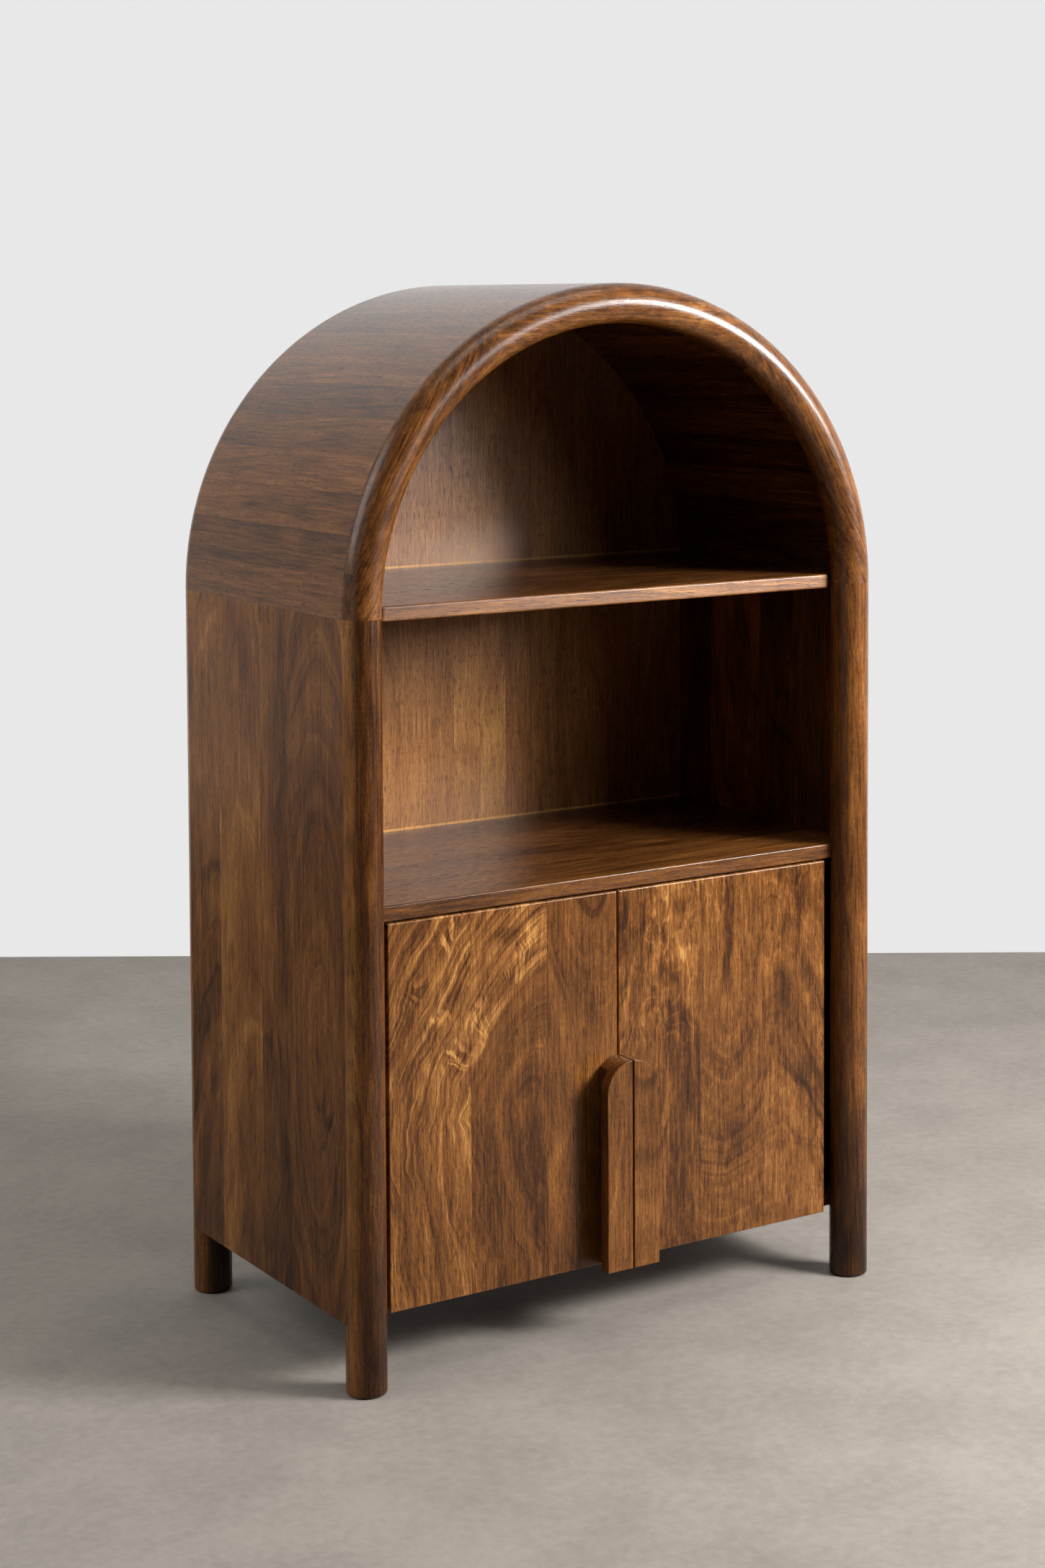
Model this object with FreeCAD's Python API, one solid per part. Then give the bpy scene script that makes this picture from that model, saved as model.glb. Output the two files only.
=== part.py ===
import FreeCAD, Part
import os
from math import acos, cos, hypot, radians, sin

V = FreeCAD.Vector
os.makedirs("parts", exist_ok=True)

# Overall sizes, in millimetres
width = 800.0
carcass_depth = 474.0
spring_height = 944.0
leg_clearance = 87.0
post_diameter = 51.0
foot_easing = 4.5

# Boards and panels
panel_thickness = 10.0
back_thickness = 12.0
back_board_count = 18
stave_count = 25
arch_segment_count = 3

# Board widths of the side panels from the front; the last board takes what is left
side_boards = (142.5, 75.0, 118.0)

# Shelves and cupboard floor
front_setback = 31.0
upper_shelf_rise = 11.5
upper_shelf_thickness = 18.5
upper_shelf_post_gap = 3.5
upper_shelf_corner_radius = 8.0
upper_shelf_easing = 2.5
upper_shelf_front_board = 112.5
lower_shelf_top = 591.0
lower_shelf_thickness = 19.5
lower_shelf_post_gap = 0.8
lower_shelf_easing = 2.0
lower_shelf_front_board = 97.0
lower_tongue = 9.0
shelf_board_count = 4
floor_thickness = 18.0
floor_front_gap = 1.5
housing_depth = 3.0

# Doors
door_thickness = 19.0
door_post_gap = 11.5
door_meeting_gap = 2.5
door_top_gap = 2.5
door_bottom_gap = 0.8
door_easing = 2.0

# Board widths of each door from the hinge side; the last board takes what is left
door_boards = {"left": (117.0, 113.0), "right": (104.0, 104.0, 48.5)}

# Pulls
pull_height = 269.5
pull_half_width = 39.75
pull_projection = 35.0
pull_plate = 15.0
pull_groove_depth = 14.0
pull_groove_end_deg = 45.0
pull_groove_bow = 0.8
pull_easing = 1.2
pull_screw_levels = (0.16, 0.78)

# Arch dowels
dowel_radius = 5.0
dowel_length = 60.0
rear_dowel_inset = 0.43

# Pivots
pivot_inset = 10.0
pivot_setback = 11.5
door_open_deg = 105.0
pin_radius = 3.0
pin_engagement = 12.0
bush_radius = 5.0
bush_length = 14.0
bracket_thickness = 3.0
bracket_half_width = 5.0
bracket_tail = 45.0
bracket_screw_spots = (12.0, 34.0)
bracket_pocket_gap = 0.4
washer_thickness = 0.7

# Catch and strikes
catch_half_width = 28.0
catch_depth = 15.0
catch_height = 14.0
catch_screw_offset = 22.0
strike_gap = 0.3
strike_thickness = 1.0
strike_width = 18.0
strike_drop = 14.0
strike_top_margin = 2.0

# Screws: shank radius, shank length, head radius, head height
pull_screw = (2.25, 35.0, 4.5, 2.5)
bracket_screw = (2.0, 11.0, 4.0, 2.2)
catch_screw = (1.75, 26.0, 3.5, 2.0)
strike_screw = (1.5, 12.0, 3.0, 1.2)

# Fits, as radial clearances
glue_fit = 0.03
running_fit = 0.05
washer_play = 0.1
hole_spare = 1.0

# Working allowances: how far a cutting shape overshoots, and when two places count as one
overcut = 1.0
same_place = 1e-4

# Derived places
post_r = post_diameter / 2
total_depth = carcass_depth + pull_projection - front_setback
y_back = total_depth / 2
y_front = y_back - carcass_depth
y_front_post = y_front + post_r
y_rear_post = y_back - post_r
arch_r = width / 2
rail_r = arch_r - post_r
inner_r = arch_r - panel_thickness
housing_x = inner_r + housing_depth
y_panel = y_rear_post - back_thickness
y_face = y_front + front_setback
y_door_back = y_face + door_thickness
y_post_back = y_front + post_diameter
upper_shelf_top = spring_height + upper_shelf_rise
lower_shelf_under = lower_shelf_top - lower_shelf_thickness
y_floor = max(y_door_back, y_post_back) + floor_front_gap
door_outer = width / 2 - post_diameter - door_post_gap
door_inner = door_meeting_gap / 2
door_bottom = leg_clearance + door_bottom_gap
door_top = lower_shelf_under - door_top_gap
axis_x = door_outer - pivot_inset
axis_y = y_face + pivot_setback
door_swing_r = hypot(pivot_inset, max(pivot_setback, door_thickness - pivot_setback))
bracket_top = leg_clearance + bracket_thickness
pocket_top = bracket_top + washer_thickness + washer_play
UP = V(0, 0, 1)
SPRING = V(0, 0, spring_height)
ARCH_AXIS = V(0, -1, 0)
SIDES = {"left": -1, "right": 1}


def box(x0, x1, y0, y1, z0, z1):
    low = V(min(x0, x1), min(y0, y1), min(z0, z1))
    return Part.makeBox(abs(x1 - x0), abs(y1 - y0), abs(z1 - z0), low)


def rod(start, direction, length, radius):
    return Part.makeCylinder(radius, length, start, direction)


def tube(start, direction, length, outer, inner):
    return rod(start, direction, length, outer).cut(rod(start, direction, length, inner))


def cut_all(solid, tools):
    for tool in tools:
        solid = solid.cut(tool)
    return solid


def mirror(shape):
    return shape.mirror(V(0, 0, 0), V(1, 0, 0))


def on_side(shape, side):
    return shape if side > 0 else mirror(shape)


def running_places(start, widths):
    return [start + sum(widths[:k + 1]) for k in range(len(widths))]


def sawn(solid, joints, along):
    """The solid cut apart at the joints, which are places along x or y."""
    span = solid.BoundBox
    low, high = (span.XMin, span.XMax) if along == "x" else (span.YMin, span.YMax)
    places = [low] + sorted(joints) + [high]
    pieces = []
    for start, end in zip(places, places[1:]):
        x0, x1 = (start, end) if along == "x" else (span.XMin, span.XMax)
        y0, y1 = (start, end) if along == "y" else (span.YMin, span.YMax)
        pieces.append(solid.common(box(x0, x1, y0, y1, span.ZMin, span.ZMax)))
    return pieces


def save(name, solids):
    pieces = [solid for shape in solids for solid in shape.Solids]
    shape = pieces[0] if len(pieces) == 1 else Part.makeCompound(pieces)
    shape.exportStep("parts/" + name + ".step")


def level_edges(solid, y):
    """Edges that lie wholly in the plane at depth y."""
    return [e for e in solid.Edges if max(abs(e.BoundBox.YMin - y), abs(e.BoundBox.YMax - y)) < same_place]


def screw(start, direction, size):
    shank_r, shank_l, head_r, head_h = size
    head = rod(start - direction * head_h, direction, head_h, head_r)
    return head.fuse(rod(start, direction, shank_l, shank_r)).removeSplitter()


def screw_hole(start, direction, size):
    return rod(start, direction, size[1] + hole_spare, size[0] + glue_fit)


# Dowels of the two arch rails
dowel_marks = []
for k in range(arch_segment_count + 1):
    angle = radians(180.0 * k / arch_segment_count)
    tangent = V(-sin(angle), 0, cos(angle))
    for y in (y_front_post, y_rear_post + rear_dowel_inset * post_r):
        dowel_marks.append((V(rail_r * cos(angle), y, spring_height + rail_r * sin(angle)), tangent))
dowel_holes = []
dowels = []
for centre, tangent in dowel_marks:
    half = dowel_length / 2
    dowels.append(rod(centre - tangent * half, tangent, dowel_length, dowel_radius))
    hole_half = half + hole_spare
    dowel_holes.append(rod(centre - tangent * hole_half, tangent, 2 * hole_half, dowel_radius + glue_fit))
save("arch_dowels", dowels)


# Posts: round legs, rebated above the legs for the panels
def round_post(y):
    leg = rod(V(rail_r, y, 0), UP, spring_height, post_r)
    foot = [e for e in leg.Edges if e.BoundBox.ZMax < same_place]
    return leg.makeFillet(foot_easing, foot)


# Rebate of each place in plan: the front takes the panels' edges, the rear is left half round
reach = post_r + overcut
rebates = {
    "front": (inner_r, rail_r + reach, y_front_post, y_front_post + reach),
    "rear": (rail_r - reach, rail_r + reach, y_rear_post - reach, y_rear_post),
}
post_y = {"front": y_front_post, "rear": y_rear_post}
for place, plan in rebates.items():
    post = round_post(post_y[place]).cut(box(*plan, leg_clearance, spring_height + overcut))
    for name, side in SIDES.items():
        save(place + "_" + name + "_post", [cut_all(on_side(post, side), dowel_holes)])


# Arch rails: the posts' section swept round the springing axis
def rail_section(place):
    x0, x1, y0, y1 = rebates[place]
    ring = Part.makeCircle(post_r, V(rail_r, post_y[place], spring_height), UP)
    rebate = Part.makePlane(x1 - x0, y1 - y0, V(x0, y0, spring_height))
    return Part.Face(Part.Wire(ring)).cut(rebate).Faces[0]


segment_names = ["right", "crown", "left"]
if arch_segment_count != len(segment_names):
    segment_names = ["part_%d" % (k + 1) for k in range(arch_segment_count)]
segment_angle = 180.0 / arch_segment_count
for place in rebates:
    for k, name in enumerate(segment_names):
        start = rail_section(place)
        start.rotate(SPRING, ARCH_AXIS, segment_angle * k)
        segment = start.revolve(SPRING, ARCH_AXIS, segment_angle)
        save(place + "_arch_" + name, [cut_all(segment, dowel_holes)])


# Vault staves
def stave(start_deg, end_deg):
    angles = [radians(a) for a in (start_deg, (start_deg + end_deg) / 2, end_deg)]
    inner = [V(inner_r * cos(a), y_front_post, spring_height + inner_r * sin(a)) for a in angles]
    outer = [V(arch_r * cos(a), y_front_post, spring_height + arch_r * sin(a)) for a in angles]
    edges = [
        Part.Arc(*inner).toShape(),
        Part.makeLine(inner[2], outer[2]),
        Part.Arc(*outer).toShape(),
        Part.makeLine(outer[0], inner[0]),
    ]
    face = Part.Face(Part.Wire(Part.__sortEdges__(edges)))
    return face.extrude(V(0, y_rear_post - y_front_post, 0))


stave_angle = 180.0 / stave_count
staves = [stave(k * stave_angle, (k + 1) * stave_angle) for k in range(stave_count)]
save("vault_staves", staves)


# Shelves: tongues at their ends stand in housings in the side boards
def upper_shelf_blank():
    x_post = width / 2 - post_diameter - upper_shelf_post_gap
    y_notch = y_post_back + upper_shelf_post_gap
    z0 = upper_shelf_top - upper_shelf_thickness
    half = [(x_post, y_face), (x_post, y_notch), (housing_x, y_notch), (housing_x, y_panel)]
    outline = half + [(-x, y) for x, y in reversed(half)]
    points = [V(x, y, z0) for x, y in outline]
    blank = Part.Face(Part.makePolygon(points + points[:1])).extrude(UP * upper_shelf_thickness)
    corners = [e for e in level_edges(blank, y_face) if e.BoundBox.ZLength > same_place]
    blank = blank.makeFillet(upper_shelf_corner_radius, corners)
    front = [e for e in level_edges(blank, y_face) if e.BoundBox.XLength > same_place]
    return cut_all(blank.makeFillet(upper_shelf_easing, front), staves)


def lower_shelf_blank():
    blank = box(-housing_x, housing_x, y_face, y_panel, lower_shelf_under, lower_shelf_top)
    gap_r = post_r + lower_shelf_post_gap
    far = housing_x + overcut
    for side in SIDES.values():
        foot = V(side * rail_r, y_front_post, lower_shelf_under)
        scribe = rod(foot, UP, lower_shelf_thickness, gap_r)
        corner = box(side * rail_r, side * far, y_face - overcut, y_front_post + gap_r,
                     lower_shelf_under, lower_shelf_top)
        shoulder = box(side * inner_r, side * far, y_front, y_panel,
                       lower_shelf_under + lower_tongue, lower_shelf_top)
        blank = cut_all(blank, [scribe, corner, shoulder])
    front = [e for e in level_edges(blank, y_face) if e.BoundBox.XLength > same_place]
    return blank.makeFillet(lower_shelf_easing, front)


def floor_blank():
    blank = box(-housing_x, housing_x, y_floor, y_panel, leg_clearance, leg_clearance + floor_thickness)
    for side in SIDES.values():
        pivot = V(side * axis_x, axis_y, leg_clearance)
        blank = blank.cut(rod(pivot, UP, floor_thickness, door_swing_r + floor_front_gap))
    return blank


upper_shelf = upper_shelf_blank()
lower_shelf = lower_shelf_blank()
floor = floor_blank()
housed = [upper_shelf, lower_shelf, floor]

# Side boards and back boards
side_joints = running_places(y_front_post, side_boards)
for name, side in SIDES.items():
    panel = box(side * inner_r, side * arch_r, y_front_post, y_rear_post, leg_clearance, spring_height)
    save(name + "_side_boards", sawn(cut_all(panel, housed), side_joints, "y"))

back_board = 2 * inner_r / back_board_count
back_outline = rod(V(0, y_panel, spring_height), V(0, 1, 0), back_thickness, inner_r)
back_outline = back_outline.fuse(box(-inner_r, inner_r, y_panel, y_rear_post, leg_clearance, spring_height))
back_joints = [-inner_r + k * back_board for k in range(1, back_board_count)]
save("back_boards", sawn(back_outline.removeSplitter(), back_joints, "x"))

# Pivots, catch and strikes, on the right side and mirrored
axis_top = V(axis_x, axis_y, lower_shelf_under)
axis_low = V(axis_x, axis_y, leg_clearance)
top_pin_length = door_top_gap + 2 * pin_engagement
top_pin = rod(axis_top + UP * (pin_engagement - top_pin_length), UP, top_pin_length, pin_radius)
top_pin_hole = rod(axis_top, UP, pin_engagement, pin_radius + glue_fit)
low_pin = rod(axis_low, UP, pocket_top + pin_engagement - leg_clearance, pin_radius)
low_pin_hole = rod(axis_low, UP, bracket_thickness, pin_radius + glue_fit)
bracket_nose = rod(axis_low, UP, bracket_thickness, bracket_half_width)
washer = tube(V(axis_x, axis_y, bracket_top), UP, washer_thickness, bracket_half_width,
              pin_radius + running_fit)
bush_feet = [V(axis_x, axis_y, pocket_top), V(axis_x, axis_y, door_top - bush_length)]
bushes = [tube(foot, UP, bush_length, bush_radius, pin_radius + running_fit) for foot in bush_feet]
bush_holes = [rod(foot, UP, bush_length, bush_radius + glue_fit) for foot in bush_feet]

bracket_blank = box(axis_x - bracket_half_width, axis_x + bracket_half_width,
                    axis_y, y_floor + bracket_tail, leg_clearance, bracket_top)
bracket_blank = bracket_blank.fuse(bracket_nose).removeSplitter()
bracket_spots = [V(axis_x, y_floor + spot, leg_clearance) for spot in bracket_screw_spots]
bracket_holes = [screw_hole(spot, UP, bracket_screw) for spot in bracket_spots]
bracket = cut_all(bracket_blank, bracket_holes + [low_pin_hole])
bracket_screws = [screw(spot, UP, bracket_screw) for spot in bracket_spots]


def bracket_pocket():
    """Room in the door's lower edge for the bracket, all through the swing, behind a lip that hides it."""
    swing = radians(door_open_deg)
    room = bracket_half_width + bracket_pocket_gap
    ahead = (bracket_half_width - pivot_inset * cos(swing)) / sin(swing) + bracket_pocket_gap
    x_far = door_outer + overcut
    z_low = door_bottom - overcut
    pocket = rod(V(axis_x, axis_y, z_low), UP, pocket_top - z_low, room)
    behind = box(axis_x - room, x_far, axis_y, y_door_back + overcut, z_low, pocket_top)
    beside = box(axis_x, x_far, axis_y - max(room, ahead), axis_y, z_low, pocket_top)
    return pocket.fuse(behind).fuse(beside)


y_catch = y_door_back + strike_thickness + strike_gap
catch_base = lower_shelf_under - catch_height
catch = box(-catch_half_width, catch_half_width, y_catch, y_catch + catch_depth,
            catch_base, lower_shelf_under)
catch_middle = V(0, y_catch + catch_depth / 2, catch_base)
catch_spots = [catch_middle + V(side * catch_screw_offset, 0, 0) for side in SIDES.values()]
catch_holes = [screw_hole(spot, UP, catch_screw) for spot in catch_spots]
catch_screws = [screw(spot, UP, catch_screw) for spot in catch_spots]

strike_x = (door_inner + catch_screw_offset) / 2
strike_low = catch_base - strike_drop
strike_high = lower_shelf_under - door_top_gap - strike_top_margin
strike = box(strike_x - strike_width / 2, strike_x + strike_width / 2, y_door_back,
             y_door_back + strike_thickness, strike_low, strike_high)
strike_spot = V(strike_x, y_door_back + strike_thickness, (strike_low + catch_base) / 2)
TO_FRONT = V(0, -1, 0)
strike_hole = screw_hole(strike_spot, TO_FRONT, strike_screw)
strike_fixing = screw(strike_spot, TO_FRONT, strike_screw)

# Pulls
pull_top = door_bottom + pull_height
pull_centre = pull_top - pull_half_width
y_pull = y_face - pull_projection
pull_inner_angle = acos(door_inner / pull_half_width)
pull_groove_x = pull_half_width - pull_groove_depth
groove_end = radians(pull_groove_end_deg)


def on_arc(angle, y):
    return V(pull_half_width * cos(angle), y, pull_centre + pull_half_width * sin(angle))


def pull_blank():
    corner_low = V(door_inner, y_pull, door_bottom)
    corner_out = V(pull_half_width, y_pull, door_bottom)
    corner_high = on_arc(pull_inner_angle, y_pull)
    edges = [
        Part.makeLine(corner_low, corner_out),
        Part.makeLine(corner_out, on_arc(0, y_pull)),
        Part.Arc(on_arc(0, y_pull), on_arc(pull_inner_angle / 2, y_pull), corner_high).toShape(),
        Part.makeLine(corner_high, corner_low),
    ]
    face = Part.Face(Part.Wire(edges))
    blank = face.extrude(V(0, pull_projection, 0))
    return blank.makeFillet(pull_easing, level_edges(blank, y_pull))


def pull_groove():
    y = y_pull + pull_plate
    far = pull_half_width + overcut
    below = door_bottom - overcut
    low = V(pull_groove_x, y, below)
    bend = V(pull_groove_x, y, pull_centre)
    end = on_arc(groove_end, y)
    middle = (bend + end) * 0.5 - V(pull_groove_bow, 0, 0)
    edges = [
        Part.makeLine(low, bend),
        Part.Arc(bend, middle, end).toShape(),
        Part.makeLine(end, V(far, y, end.z)),
        Part.makeLine(V(far, y, end.z), V(far, y, below)),
        Part.makeLine(V(far, y, below), low),
    ]
    return Part.Face(Part.Wire(edges)).extrude(V(0, pull_projection - pull_plate, 0))


pull_screw_x = (door_inner + pull_groove_x) / 2
pull_foot = V(pull_screw_x, y_door_back, door_bottom)
pull_spots = [pull_foot + UP * (level * pull_height) for level in pull_screw_levels]
pull_holes = [screw_hole(spot, TO_FRONT, pull_screw) for spot in pull_spots]
pull_screws = [screw(spot, TO_FRONT, pull_screw) for spot in pull_spots]
pull = cut_all(pull_blank().cut(pull_groove()), pull_holes)


# Doors
def door_blank():
    blank = box(door_inner, door_outer, y_face, y_door_back, door_bottom, door_top)
    blank = blank.makeFillet(door_easing, level_edges(blank, y_face))
    return cut_all(blank, bush_holes + pull_holes + [strike_hole, bracket_pocket()])


door = door_blank()
for name, side in SIDES.items():
    door_joints = [-side * place for place in running_places(-door_outer, door_boards[name])]
    save(name + "_door_boards", sawn(on_side(door, side), door_joints, "x"))
    save(name + "_pull", [on_side(pull, side)])
    save(name + "_pull_screws", [on_side(piece, side) for piece in pull_screws])
    save(name + "_door_bushes", [on_side(piece, side) for piece in bushes])
    save(name + "_strike_plate", [on_side(strike.cut(strike_hole), side)])
    save(name + "_strike_screw", [on_side(strike_fixing, side)])


def both(pieces):
    return [on_side(piece, side) for side in SIDES.values() for piece in pieces]


def shelf_joints(front_board):
    first = y_face + front_board
    pitch = (y_panel - first) / (shelf_board_count - 1)
    return [first + k * pitch for k in range(shelf_board_count - 1)]


shelf_holes = both([top_pin_hole]) + catch_holes
save("upper_shelf", sawn(upper_shelf, shelf_joints(upper_shelf_front_board), "y"))
save("lower_shelf", sawn(cut_all(lower_shelf, shelf_holes), shelf_joints(lower_shelf_front_board), "y"))
save("cupboard_floor", [cut_all(floor, both(bracket_holes + [bracket_blank]))])
save("top_pivot_pins", both([top_pin]))
save("bottom_pivot_pins", both([low_pin]))
save("pivot_brackets", both([bracket]))
save("bracket_screws", both(bracket_screws))
save("thrust_washers", both([washer]))
save("magnetic_catch", [cut_all(catch, catch_holes)])
save("catch_screws", catch_screws)
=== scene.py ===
import math

import bmesh
import bpy
from bpy.props import FloatProperty, FloatVectorProperty, IntProperty, PointerProperty
from bpy.types import Operator, Panel, PropertyGroup
from mathutils import Matrix, Vector


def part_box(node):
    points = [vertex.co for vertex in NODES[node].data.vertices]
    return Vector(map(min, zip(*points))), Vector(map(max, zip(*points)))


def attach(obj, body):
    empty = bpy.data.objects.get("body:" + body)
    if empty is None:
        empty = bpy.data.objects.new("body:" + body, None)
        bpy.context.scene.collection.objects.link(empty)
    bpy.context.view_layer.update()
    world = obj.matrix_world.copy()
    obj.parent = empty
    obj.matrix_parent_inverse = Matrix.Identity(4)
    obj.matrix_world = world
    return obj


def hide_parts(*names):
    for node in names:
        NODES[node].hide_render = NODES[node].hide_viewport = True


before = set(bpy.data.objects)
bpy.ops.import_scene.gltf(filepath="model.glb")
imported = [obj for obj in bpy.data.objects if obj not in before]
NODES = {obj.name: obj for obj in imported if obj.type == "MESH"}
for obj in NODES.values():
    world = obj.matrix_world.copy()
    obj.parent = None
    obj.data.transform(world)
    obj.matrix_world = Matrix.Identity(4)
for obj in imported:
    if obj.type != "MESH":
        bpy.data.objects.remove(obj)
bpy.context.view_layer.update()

bl_info = {
    "name": "Arched Shelf",
    "version": (1, 0, 0),
    "blender": (4, 5, 0),
    "location": "3D View > Sidebar > Arched Shelf",
    "description": "Stained wood, fixings and studio stage for a free-standing arched shelf",
    "category": "Object",
}

VAULT_LOW, VAULT_HIGH = (Vector(corner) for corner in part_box("vault_staves"))
SPRING_HEIGHT = VAULT_LOW.z
FRONT_POST, REAR_POST = (sum((Vector(corner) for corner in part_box(name)), Vector()) / 2
                         for name in ("front_right_post", "rear_right_post"))


def stain(red, green, blue):
    """A colour as a painter mixes it, 0 to 255 a channel, in the renderer's linear values."""
    def channel(value):
        value /= 255.0
        return value / 12.92 if value <= 0.04045 else ((value + 0.055) / 1.055) ** 2.4
    return (channel(red), channel(green), channel(blue))


def toned(colour, factor):
    """A colour made darker or lighter."""
    return tuple(min(1.0, channel * factor) for channel in colour)


def settings():
    return bpy.context.scene.arched_shelf


# Sizes and colours that a user would change
def colour_prop(name, description, default):
    return FloatVectorProperty(name=name, description=description, subtype="COLOR", size=3, min=0.0, max=1.0,
                               default=default)


def length_prop(name, description, default):
    return FloatProperty(name=name, description=description, subtype="DISTANCE", unit="LENGTH", min=0.0,
                         default=default)


def factor_prop(name, description, default, least=0.0, most=1.0):
    return FloatProperty(name=name, description=description, subtype="FACTOR", min=least, max=most, default=default)


def lamp_prop(name, description, default):
    return FloatProperty(name=name, description=description, subtype="POWER", unit="POWER", min=0.0, default=default)


class WoodSettings(PropertyGroup):
    heart: colour_prop("Heart", "Darkest streaks of the stained wood", stain(36, 17, 7))
    dark: colour_prop("Dark", "Late wood between the bands", stain(78, 44, 18))
    body: colour_prop("Body", "Main tone of the stained wood", stain(121, 74, 33))
    light: colour_prop("Light", "Early wood in the bands", stain(159, 105, 53))
    gold: colour_prop("Gold", "Flecks of the curly figure", stain(207, 151, 83))
    lacquer_roughness: factor_prop("Lacquer roughness", "Gloss of the satin lacquer, low is glossy", 0.18)
    lacquer: factor_prop("Lacquer", "Weight of the clear coat", 0.12)


class VaultSettings(PropertyGroup):
    staves: IntProperty(name="Staves", description="Staves side by side round the half circle", min=3, default=25)
    thickness: length_prop("Thickness", "Thickness of a stave", 0.010)


class ScrewSettings(PropertyGroup):
    recess: factor_prop("Recess", "Width of the cross recess over the head's radius", 0.26, 0.05, 0.6)
    taper: factor_prop("Taper", "Top of the head over its foot", 0.72, 0.3)


class MetalSettings(PropertyGroup):
    steel: colour_prop("Steel", "Plated steel of pins, brackets and screws", stain(168, 170, 174))
    brass: colour_prop("Brass", "Bushes and washers", stain(190, 152, 84))
    catch_brown: colour_prop("Catch", "Moulded case of the magnetic catch", stain(74, 48, 34))


class StageSettings(PropertyGroup):
    floor: colour_prop("Floor", "Pale mineral floor", stain(148, 140, 131))
    wall: colour_prop("Wall", "White backdrop", stain(232, 232, 232))
    key: lamp_prop("Key", "Near lamp at the front right", 104.0)
    front: lamp_prop("Front", "Wide weak lamp beside the key", 11.0)
    top: lamp_prop("Top", "Wide lamp overhead", 22.0)
    side: lamp_prop("Side", "Weak lamp at the left", 21.0)


class ShelfSettings(PropertyGroup):
    wood: PointerProperty(type=WoodSettings)
    vault: PointerProperty(type=VaultSettings)
    screws: PointerProperty(type=ScrewSettings)
    metal: PointerProperty(type=MetalSettings)
    stage: PointerProperty(type=StageSettings)


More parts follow.
